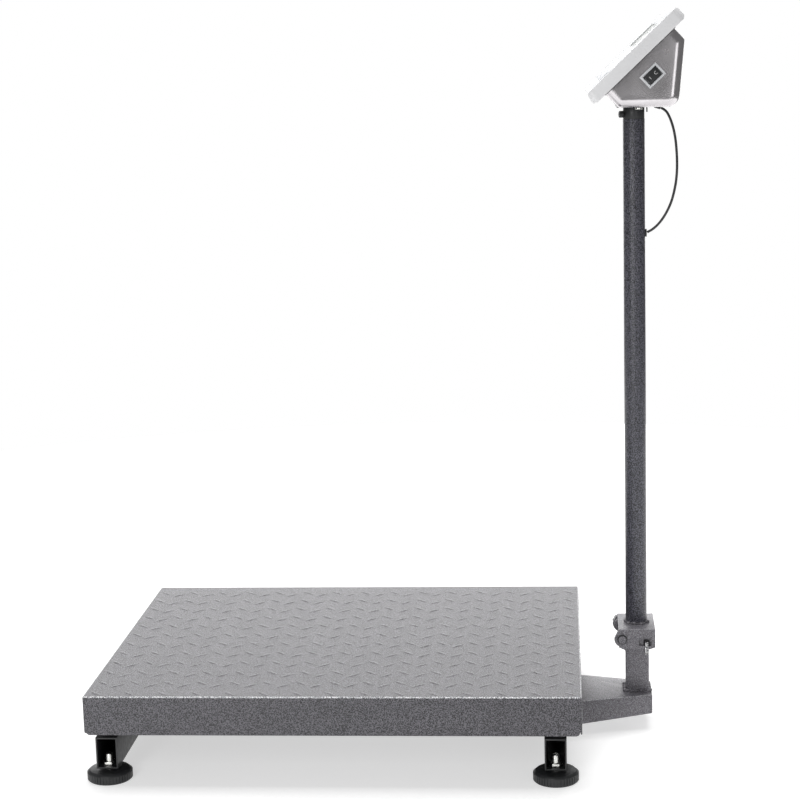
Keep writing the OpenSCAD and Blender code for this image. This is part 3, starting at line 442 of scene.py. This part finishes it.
one_lug = bmesh.new()
bmesh.ops.create_uvsphere(one_lug, u_segments=14, v_segments=8, radius=1.0)
bmesh.ops.delete(one_lug, geom=[v for v in one_lug.verts if v.co.z < -0.01], context="VERTS")
for vert in one_lug.verts:
    reach = min(1.0, math.hypot(vert.co.x, vert.co.y))
    vert.co.z = (1 - reach * reach) ** 1.3
bmesh.ops.scale(one_lug, vec=(LUG_LENGTH / 2, LUG_WIDTH / 2, 1.0), verts=one_lug.verts)
lug_data = bpy.data.meshes.new("one_lug")
one_lug.to_mesh(lug_data)
one_lug.free()


def lug_field(name, width, depth, rise, to_world):
    """A herringbone of lugs over a flat field, laid where to_world puts it."""
    bm = bmesh.new()
    across = int(width / LUG_PITCH_X) + 1
    along = int(depth / LUG_PITCH_Y) + 1
    for i in range(-across, across + 1):
        for j in range(-along, along + 1):
            for half in (0, 1):
                x = (i + 0.5 * half) * LUG_PITCH_X
                y = (j + (0.0 if half else 0.25)) * LUG_PITCH_Y
                if abs(x) > width / 2 - LUG_MARGIN or abs(y) > depth / 2 - LUG_MARGIN:
                    continue
                slant = math.radians(45 if half else -45)
                start = len(bm.verts)
                bm.from_mesh(lug_data)
                bm.verts.ensure_lookup_table()
                added = bm.verts[start:]
                bmesh.ops.scale(bm, vec=(1, 1, rise), verts=added)
                bmesh.ops.rotate(bm, matrix=Matrix.Rotation(slant, 3, "Z"), verts=added)
                bmesh.ops.translate(bm, vec=(x, y, 0), verts=added)
    bmesh.ops.transform(bm, matrix=to_world, verts=bm.verts)
    return new_piece(name, bm, merge=0, outwards=False)


top_place = Matrix.Translation((deck_mid.x, deck_mid.y, deck_high.z - SKIN_INSET - LUG_SINK))
top_lugs = lug_field("deck_lugs", deck_size.x, deck_size.y, LUG_RISE, top_place)
keep(top_lugs, "deck", deck_coat)
for name, width, spot, spin in (
    ("front_lugs", deck_size.x, (deck_mid.x, deck_low.y + SKIN_INSET, deck_mid.z), 0.0),
    ("back_lugs", deck_size.x, (deck_mid.x, deck_high.y - SKIN_INSET, deck_mid.z), 180.0),
    ("right_lugs", deck_size.y, (deck_high.x - SKIN_INSET, deck_mid.y, deck_mid.z), 90.0),
    ("left_lugs", deck_size.y, (deck_low.x + SKIN_INSET, deck_mid.y, deck_mid.z), -90.0),
):
    stand = Matrix.Rotation(math.radians(spin), 4, "Z") @ Matrix.Rotation(math.pi / 2, 4, "X")
    apron_place = Matrix.Translation(spot) @ stand
    apron_lugs = lug_field(name, width, deck_size.z, APRON_LUG_RISE, apron_place)
    keep(apron_lugs, "deck", deck_coat)

# ---- Base and deck frame ----
# The rails, the cross beam, the spine and the crossbars are steel tube and strip, sawn to
# length, welded together and sprayed black. Their sawn edges are filed round.


def soften(node, width, finish, segments=2, angle=30.0):
    """A copy of a drawn piece with its sharp edges rounded, in place of it."""
    source = bpy.data.objects[node]
    bm = bmesh.new()
    bm.from_mesh(source.data)
    bmesh.ops.remove_doubles(bm, verts=bm.verts, dist=0.00001)
    bmesh.ops.dissolve_limit(
        bm, angle_limit=math.radians(1.0), verts=bm.verts, edges=bm.edges, delimit={"NORMAL"}
    )
    sharp = [
        e for e in bm.edges
        if len(e.link_faces) == 2 and e.calc_face_angle(0.0) > math.radians(angle)
    ]
    if width and sharp:
        bmesh.ops.bevel(
            bm, geom=sharp, offset=width, segments=segments, profile=0.5, material=-1,
            affect="EDGES", clamp_overlap=True,
        )
    piece = new_piece(node + "_finished", bm, merge=0, outwards=False)
    bodies = frame["record"]["behaviour"]["bodies"]
    home = next(name for name, nodes in bodies.items() if node in nodes)
    return keep(piece, home, finish, (node,))


black_paint = Finish("black_paint")
black_paint.set("Base Color", black_paint.ramp(
    black_paint.noise(60.0), (0.3, (0.010, 0.011, 0.012)), (0.7, (0.018, 0.019, 0.020))
))
black_paint.set("Roughness", black_paint.ramp(black_paint.noise(220.0, 3.0), (0.3, 0.30), (0.7, 0.46)))
black_paint.bump(black_paint.noise(900.0, 2.0), 0.12, 0.0003)

for node in ("left_rail", "right_rail"):
    soften(node, 0.0006, black_paint)
for node in ("cross_beam", "deck_spine", "deck_crossbars"):
    soften(node, 0.0012, black_paint)

# ---- Studs, bolts and nuts ----
# The foot studs, the bolts, the nuts, the overload stops and the load cell's spacers are
# turned or cold-formed steel, tumbled and plated with bright zinc.

zinc = Finish("bright_zinc", metallic=1.0)
zinc.set("Base Color", zinc.ramp(
    zinc.noise(400.0, 3.0), (0.3, (0.58, 0.58, 0.56)), (0.7, (0.78, 0.78, 0.75))
))
zinc.set("Roughness", zinc.ramp(zinc.noise(250.0, 3.0), (0.3, 0.18), (0.7, 0.34)))
zinc.bump(zinc.noise(1200.0), 0.08, 0.0002)
for node in (
    "foot_nuts", "cell_base_bolts", "cell_top_bolts", "overload_stops", "cell_base_spacer",
    "cell_top_spacer", "indicator_screws",
    "foot_stud_1", "foot_stud_2", "foot_stud_3", "foot_stud_4",
):
    soften(node, 0.0003, zinc)

# ---- Load cell ----
# The load cell is a milled bar of aluminium alloy, with its machining marks along it. It
# is bolted to the cross beam at one end and to the deck's spine at the other.

alloy = Finish("cell_alloy", metallic=1.0)
milling = alloy.noise(30.0, 2.0, 0.5, alloy.place(stretch=(1, 30, 30)))
alloy.set("Base Color", alloy.ramp(milling, (0.3, (0.66, 0.67, 0.69)), (0.7, (0.78, 0.79, 0.80))))
alloy.set("Roughness", alloy.ramp(alloy.noise(300.0), (0.3, 0.28), (0.7, 0.42)))
soften("load_cell", 0.0005, alloy)

# ---- Pads, grommet and gasket ----
# The pads between the deck's frame and its cover, the grommet in the column and the
# gasket behind the bezel are moulded black rubber, pressed into their places.

rubber = Finish("black_rubber", roughness=0.75)
rubber.set("Base Color", rubber.ramp(
    rubber.noise(150.0), (0.3, (0.012, 0.012, 0.012)), (0.7, (0.024, 0.024, 0.025))
))
rubber.bump(rubber.noise(1800.0), 0.2, 0.0003)
soften("deck_pads", 0.0008, rubber)
soften("cable_grommet", 0.0003, rubber)
soften("bezel_gasket", 0.0002, rubber)

# ---- Feet and black mouldings ----
# The feet, the hand screws' heads, the bush, the gland and the charger socket are injection
# moulded in black plastic with a fine texture. The feet are moulded onto their studs.

black_plastic = Finish("black_plastic")
black_plastic.set("Base Color", black_plastic.ramp(
    black_plastic.noise(80.0), (0.3, (0.013, 0.014, 0.015)), (0.7, (0.022, 0.023, 0.025))
))
black_plastic.set("Roughness", black_plastic.ramp(black_plastic.noise(500.0), (0.3, 0.36), (0.7, 0.50)))
black_plastic.bump(black_plastic.noise(2200.0), 0.15, 0.0002)
for number in (1, 2, 3, 4):
    soften("foot_disc_%d" % number, 0.0003, black_plastic, segments=1)
for node in ("hinge_knob", "thumb_screw", "mast_bush", "cable_gland", "charger_socket"):
    soften(node, 0.0003, black_plastic)

# ---- Latch ----
# A small steel hook reaches in through the window in the hinge's cap and holds the column
# upright. Its plating is worn through where fingers pull it.

worn_steel = Finish("worn_steel", metallic=1.0)
worn_steel.set("Base Color", worn_steel.ramp(
    worn_steel.noise(500.0, 3.0), (0.42, (0.10, 0.10, 0.11)), (0.62, (0.60, 0.60, 0.60))
))
worn_steel.set("Roughness", worn_steel.ramp(worn_steel.noise(300.0, 3.0), (0.3, 0.25), (0.7, 0.45)))
worn_steel.bump(worn_steel.noise(900.0), 0.15, 0.0003)
soften("latch_lever", 0.0003, worn_steel)

# ---- Column, arm, post and hinge ----
# The column is round steel tube, and the arm, the square post, the block and the folded cap
# are welded steel, under the deck's hammered coat. A bolt through the block's two lugs and
# the cap's ears is the hinge.

column_coat = hammered(
    "column_coat", (0.006, 0.006, 0.007), (0.008, 0.008, 0.010), (0.16, 0.16, 0.20), contrast=0.7
)
bracket_coat = hammered(
    "bracket_coat", (0.060, 0.057, 0.064), (0.075, 0.071, 0.080), (0.30, 0.29, 0.32),
    grain=1000.0, contrast=0.7,
)
soften("mast_tube", 0.0004, column_coat)
for node, width in (
    ("column_arm", 0.0018), ("column_post", 0.0022), ("hinge_cap", 0.0011), ("hinge_block", 0.0006),
    ("hinge_bolt", 0.0005),
):
    bracket = soften(node, width, bracket_coat, segments=3)
    # The arm's and the cap's rounded upper folds get the painted highlight.
    if node in ("column_arm", "hinge_cap"):
        paint_fold_highlight(bracket, fold_highlight_paint)
soften("hinge_washers", 0.0002, black_paint)

# ---- Weld beads ----
# The column is welded to the cap, the post to the arm and the arm to its rail. Each bead is
# a row of overlapping drops of steel, left as laid and painted over.


def weld_bead(name, corners, radius, body, hides=(), seed=3):
    """A row of drops along straight runs between corners, uneven in size and place."""
    shake = random.Random(seed)
    bm = bmesh.new()
    corners = [Vector(c) * MM for c in corners]
    for a, b in zip(corners, corners[1:]):
        count = max(1, round((b - a).length / (radius * 1.7)))
        for k in range(count):
            at = a.lerp(b, (k + 0.5) / count)
            size = radius * shake.uniform(0.6, 1.25)
            drop = bmesh.ops.create_icosphere(bm, subdivisions=2, radius=size)["verts"]
            lean = Matrix.Rotation(shake.uniform(-0.4, 0.4), 4, "Z")
            shift = Vector([shake.uniform(-0.25, 0.25) * radius for _ in range(3)])
            bmesh.ops.scale(bm, vec=(1.15, 1.0, 0.8), verts=drop)
            bmesh.ops.transform(bm, matrix=Matrix.Translation(at + shift) @ lean, verts=drop)
    keep(new_piece(name, bm, merge=0, outwards=False), body, bracket_coat, hides)


def middle(node):
    """A drawn piece's box: its middle, and its low and high corners, in millimetres."""
    low, high = (Vector(c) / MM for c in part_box(node))
    return (low + high) / 2, low, high


BEAD_OUT = 0.6
tube_mid, tube_low, tube_high = middle("mast_tube")
ring_r = (tube_high.x - tube_low.x) / 2 + BEAD_OUT
foot_ring = [
    (tube_mid.x + ring_r * math.cos(a), tube_mid.y + ring_r * math.sin(a), tube_low.z + 0.9)
    for a in (math.radians(18 * k) for k in range(21))
]
weld_bead("mast_bead", foot_ring, 2.1 * MM, "mast", ("mast_weld",))

post_mid, post_low, post_high = middle("column_post")
post_half = (post_high.x - post_low.x) / 2 + BEAD_OUT
post_ring = [
    (post_mid.x + sx * post_half, sy * post_half, post_low.z + 0.8)
    for sx, sy in ((-1, -1), (1, -1), (1, 1), (-1, 1), (-1, -1))
]
weld_bead("post_bead", post_ring, 2.2 * MM, "root", ("post_weld",), 5)

# The arm's bead goes up one side of its wide end, over the top and down the other.
_, arm_low, arm_high = middle("column_arm")
bead_x, near_y, far_y = arm_low.x + 0.3, arm_low.y + 0.5, arm_high.y - 0.5
arm_line = [
    (bead_x, near_y, arm_low.z + 3), (bead_x, near_y, arm_high.z),
    (bead_x, far_y, arm_high.z), (bead_x, far_y, arm_low.z + 3),
]
weld_bead("arm_bead", arm_line, 1.6 * MM, "root", (), 9)

# ---- Mounting plate and the lead at the hinge ----
# The plate under the indicator is folded steel, sprayed black, with its spigot welded on.
# The load cell's lead passes the hinge in a short free length, drawn as a straight tube.

soften("mount_plate", 0.0004, black_paint)

lead_low, lead_high = (Vector(c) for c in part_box("hinge_cable"))
lead_mid = (lead_low + lead_high) / 2
lead_foot = Vector((lead_mid.x, 0, lead_low.z))
lead_top = Vector((lead_mid.x, 0, lead_high.z))
lead_line = [lead_foot.lerp(lead_top, i / 10) for i in range(11)]
lead = tube_along("hinge_lead", lead_line, CABLE_D / 2)
lead.data.materials.append(jacket.material)
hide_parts("hinge_cable")
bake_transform(lead)

# ---- Indicator's bezel ----
# The bezel is a white ABS moulding with rounded edges, tilted towards the reader. It closes
# the pan's mouth and is screwed to it from behind, over a rubber gasket.

# The indicator's own frame: u up its face, v across it, w out of it.
TILT = math.radians(43.0)
FACE_U = Vector((math.cos(TILT), 0, math.sin(TILT)))
FACE_V = Vector((0, 1, 0))
FACE_W = Vector((-math.sin(TILT), 0, math.cos(TILT)))
FACE_AT = Vector((209.542, 0, 677.191)) * MM
face_place = Matrix.Translation(FACE_AT) @ Matrix((FACE_U, FACE_V, FACE_W)).transposed().to_4x4()


white_abs = Finish("white_abs")
white_abs.set("Base Color", white_abs.ramp(
    white_abs.noise(12.0), (0.3, (0.70, 0.70, 0.71)), (0.7, (0.74, 0.74, 0.75))
))
white_abs.set("Roughness", white_abs.ramp(white_abs.noise(700.0), (0.3, 0.34), (0.7, 0.48)))
white_abs.bump(white_abs.noise(2600.0, 2.0), 0.15, 0.0002)
soften("indicator_bezel", 0.0008, white_abs, segments=3)

# ---- Pressed pan ----
# The indicator's housing is one pan of 1 mm stainless sheet, pressed with rolled sides and
# satin finished. Its flat side has a rectangular hole that the rocker switch snaps into.

stainless = Finish("satin_stainless", metallic=1.0)
brushing = stainless.noise(60.0, 3.0, 0.6, stainless.place(stretch=(1, 24, 1)))
stainless.set("Base Color", stainless.ramp(
    brushing, (0.3, (0.55, 0.53, 0.545)), (0.7, (0.64, 0.62, 0.635))
))
stainless.set("Roughness", stainless.ramp(stainless.noise(40.0, 3.0), (0.3, 0.20), (0.7, 0.28)))
stainless.bump(stainless.noise(140.0, 3.0, 0.6, stainless.place(stretch=(1, 20, 1))), 0.08, 0.0003)

PAN_CORNERS = ((13.0, -14.0), (13.0, -31.8), (55.71, -71.63), (104.0, -28.7), (104.0, -14.0))
PAN_RADII = (5.0, 12.0, 3.0)
PAN_HALF_W = 103.0
PAN_EDGE_R = 9.0
PAN_SHEET = 1.0 * MM
LEAST_BEND = 3.0
SWITCH_HOLE_U = (48.4, 67.6)
SWITCH_HOLE_W = (-38.6, -25.4)


def pan_ring(inset):
    """The pan's outline from mouth round to mouth, with its walls moved in."""
    walls = []
    for (au, aw), (bu, bw) in zip(PAN_CORNERS, PAN_CORNERS[1:]):
        along = Vector((bu - au, bw - aw)).normalized()
        inward = Vector((-along.y, along.x))
        walls.append((Vector((au, aw)) + inward * inset, along))
    ring = [walls[0][0]]
    for (p, d), (q, e), radius in zip(walls, walls[1:], PAN_RADII):
        cross = d.x * e.y - d.y * e.x
        corner = p + d * (((q - p).x * e.y - (q - p).y * e.x) / cross)
        radius = max(radius - inset, LEAST_BEND)
        half_turn = d.angle(e) / 2
        reach = radius * math.tan(half_turn)
        centre = corner - d * reach + Vector((-d.y, d.x)) * radius
        first = corner - d * reach - centre
        for k in range(9):
            spin = 2 * half_turn * k / 8
            ring.append(centre + Vector((
                first.x * math.cos(spin) - first.y * math.sin(spin),
                first.x * math.sin(spin) + first.y * math.cos(spin),
            )))
    ring.append(walls[-1][0] + walls[-1][1] * (PAN_CORNERS[-1][1] - PAN_CORNERS[-2][1]))
    ring[-1].y = ring[0].y = PAN_CORNERS[0][1]
    return ring


pan = bmesh.new()
sections = []
for side in (-1, 1):
    steps = [math.radians(90 - 11.25 * k) for k in range(9)]
    for turn in steps if side < 0 else reversed(steps):
        inset = PAN_EDGE_R * (1 - math.cos(turn))
        sections.append((inset, side * (PAN_HALF_W - PAN_EDGE_R * (1 - math.sin(turn)))))
rows = [[pan.verts.new((u, v, w)) for u, w in pan_ring(inset)] for inset, v in sections]
for row, after in zip(rows, rows[1:]):
    for k in range(len(row) - 1):
        pan.faces.new((row[k], row[k + 1], after[k + 1], after[k]))
for row in (rows[0], rows[-1]):
    pan.faces.new(row)


def near_side():
    """The faces of the pan's flat side that carries the switch."""
    return [f for f in pan.faces if all(v.co.y < -PAN_HALF_W + 0.01 for v in f.verts)]


def in_switch_hole(face):
    centre = face.calc_center_median()
    across = SWITCH_HOLE_U[0] < centre.x < SWITCH_HOLE_U[1]
    return across and SWITCH_HOLE_W[0] < centre.z < SWITCH_HOLE_W[1]


hole_sides = [((u, 0, 0), (1, 0, 0)) for u in SWITCH_HOLE_U]
hole_sides += [((0, 0, w), (0, 0, 1)) for w in reversed(SWITCH_HOLE_W)]
for plane_at, plane_no in hole_sides:
    flat = near_side()
    around = list({e for f in flat for e in f.edges} | {v for f in flat for v in f.verts})
    bmesh.ops.bisect_plane(pan, geom=flat + around, plane_co=plane_at, plane_no=plane_no)
cut_out = [f for f in near_side() if in_switch_hole(f)]
bmesh.ops.delete(pan, geom=cut_out, context="FACES_ONLY")
bmesh.ops.scale(pan, vec=(MM, MM, MM), verts=pan.verts)
bmesh.ops.transform(pan, matrix=face_place, verts=pan.verts)
bmesh.ops.recalc_face_normals(pan, faces=pan.faces)
bmesh.ops.solidify(pan, geom=pan.faces[:], thickness=PAN_SHEET)
pressed_pan = new_piece("pressed_pan", pan, merge=0, outwards=False)
keep(pressed_pan, "indicator", stainless, ("indicator_housing",))

# ---- Rocker switch and keys ----
# The mains rocker is black plastic in a grey frame that snaps into the pan. The six keys
# are separate grey ABS caps, pressed down one by one onto the board behind the bezel.

grey_abs = Finish("grey_abs")
grey_abs.set("Base Color", grey_abs.ramp(
    grey_abs.noise(60.0), (0.3, (0.56, 0.57, 0.59)), (0.7, (0.62, 0.63, 0.65))
))
grey_abs.set("Roughness", grey_abs.ramp(grey_abs.noise(600.0), (0.3, 0.32), (0.7, 0.44)))
grey_abs.bump(grey_abs.noise(2400.0), 0.1, 0.0002)
soften("switch_body", 0.0004, grey_abs)
for number in range(1, 7):
    soften("key_%d" % number, 0.0006, grey_abs, segments=3)
soften("switch_rocker", 0.0003, black_plastic)

# ---- Front film and display ----
# A printed polyester film is glued to the bezel's front, with a clear window over a liquid
# crystal display on the board behind. Its digits are dark segments in the glass.

overlay_film = Finish("overlay_film")
overlay_film.set("Base Color", overlay_film.ramp(
    overlay_film.noise(40.0), (0.3, (0.60, 0.61, 0.62)), (0.7, (0.63, 0.64, 0.65))
))
overlay_film.set("Roughness", overlay_film.ramp(overlay_film.noise(900.0), (0.3, 0.40), (0.7, 0.55)))
overlay_film.bump(overlay_film.noise(3200.0), 0.12, 0.0002)
soften("front_overlay", 0.0001, overlay_film)

# The window's pale grey-green is partly its own tint and partly a painted reflection of the pale room,
# which it shows at a glancing angle.
window_glass = Finish("window_glass", roughness=0.08)
window_glass.set("Base Color", window_glass.ramp(
    window_glass.noise(20.0), (0.3, (0.50, 0.52, 0.50)), (0.7, (0.55, 0.57, 0.55))
))
window_glass.set("Alpha", 0.35)
soften("display_window", 0.0002, window_glass)

display_dark = Finish("display_dark", roughness=0.3)
display_dark.set("Base Color", display_dark.ramp(
    display_dark.noise(25.0), (0.3, (0.44, 0.48, 0.42)), (0.7, (0.48, 0.52, 0.45))
))
soften("display_module", 0.0003, display_dark)


def face_boxes(name, boxes, body, finish, spin=0.0, about=(0, 0, 0)):
    """Small boxes in the indicator's own frame: each a middle and a size, in millimetres."""
    bm = bmesh.new()
    for at, size in boxes:
        made = bmesh.ops.create_cube(bm, size=1.0)["verts"]
        bmesh.ops.scale(bm, vec=size, verts=made)
        bmesh.ops.translate(bm, vec=at, verts=made)
    pivot = Matrix.Translation(about)
    lean = pivot @ Matrix.Rotation(spin, 4, "Z") @ pivot.inverted()
    bmesh.ops.transform(bm, matrix=lean, verts=bm.verts)
    bmesh.ops.scale(bm, vec=(MM, MM, MM), verts=bm.verts)
    bmesh.ops.transform(bm, matrix=face_place, verts=bm.verts)
    return keep(new_piece(name, bm, merge=0), body, finish)


segment_ink = Finish("segment_ink", roughness=0.4)
segment_ink.set("Base Color", segment_ink.ramp(
    segment_ink.noise(80.0), (0.3, (0.012, 0.014, 0.012)), (0.7, (0.020, 0.022, 0.020))
))
DIGIT_TALL, DIGIT_WIDE, STROKE = 18.0, 9.5, 2.0
DIGIT_PITCH = 15.0
LAST_DIGIT_V = 26.0
POINT_V = 3.5
DIGITS_U = 81.0
INK_W, INK_THICK = -2.72, 0.1
segments = []
for digit in range(3):
    v = LAST_DIGIT_V - DIGIT_PITCH * (2 - digit)
    for side in (-1, 1):
        segments.append((
            (DIGITS_U + side * DIGIT_TALL / 2, v, INK_W), (STROKE, DIGIT_WIDE - STROKE, INK_THICK)
        ))
        for edge in (-1, 1):
            segments.append((
                (DIGITS_U + side * DIGIT_TALL / 4, v + edge * DIGIT_WIDE / 2, INK_W),
                (DIGIT_TALL / 2 - STROKE, STROKE, INK_THICK),
            ))
segments.append(((DIGITS_U - DIGIT_TALL / 2, POINT_V, INK_W), (STROKE, STROKE, INK_THICK)))
face_boxes("display_digits", segments, "indicator", segment_ink)

# ---- Marks on the rocker ----
# A bar and a ring are printed in white on the rocker's two halves, for on and off. They
# lie on its face, which leans to the side that is pressed in.

mark_white = Finish("mark_white", roughness=0.5)
mark_white.set("Base Color", mark_white.ramp(
    mark_white.noise(300.0), (0.3, (0.66, 0.66, 0.66)), (0.7, (0.78, 0.78, 0.78))
))
ROCKER_AT = (58.0, -101.5, -32.0)
ROCKER_LEAN = math.radians(8)
MARK_V = -104.33
ON_U, OFF_U = 54.2, 61.8
RING_R = 1.5
off_ring = []
for angle in (math.radians(30 * k) for k in range(12)):
    at = (OFF_U + RING_R * math.cos(angle), MARK_V, ROCKER_AT[2] + RING_R * math.sin(angle))
    off_ring.append((at, (0.5, 0.08, 0.9 if abs(math.cos(angle)) > 0.9 else 0.6)))
on_bar = [((ON_U, MARK_V, ROCKER_AT[2]), (0.5, 0.08, 3.2))]
for name, mark in (("off_mark", off_ring), ("on_mark", on_bar)):
    face_boxes(name, mark, "rocker", mark_white, ROCKER_LEAN, ROCKER_AT)

# ---- Circuit board and battery ----
# The board is glass fibre laminate under green solder resist. The case screws hold it.
# The battery is a sealed block in a blue plastic sleeve, in the bottom of the pan.

board_green = Finish("board_green", roughness=0.4)
board_green.set("Base Color", board_green.ramp(
    board_green.cells(300.0), (0.2, (0.015, 0.12, 0.04)), (0.6, (0.02, 0.17, 0.06))
))
soften("main_board", 0.0, board_green)

battery_case = Finish("battery_case", roughness=0.35)
battery_case.set("Base Color", battery_case.ramp(
    battery_case.noise(50.0), (0.3, (0.03, 0.06, 0.18)), (0.7, (0.04, 0.08, 0.22))
))
soften("battery", 0.002, battery_case, segments=3)
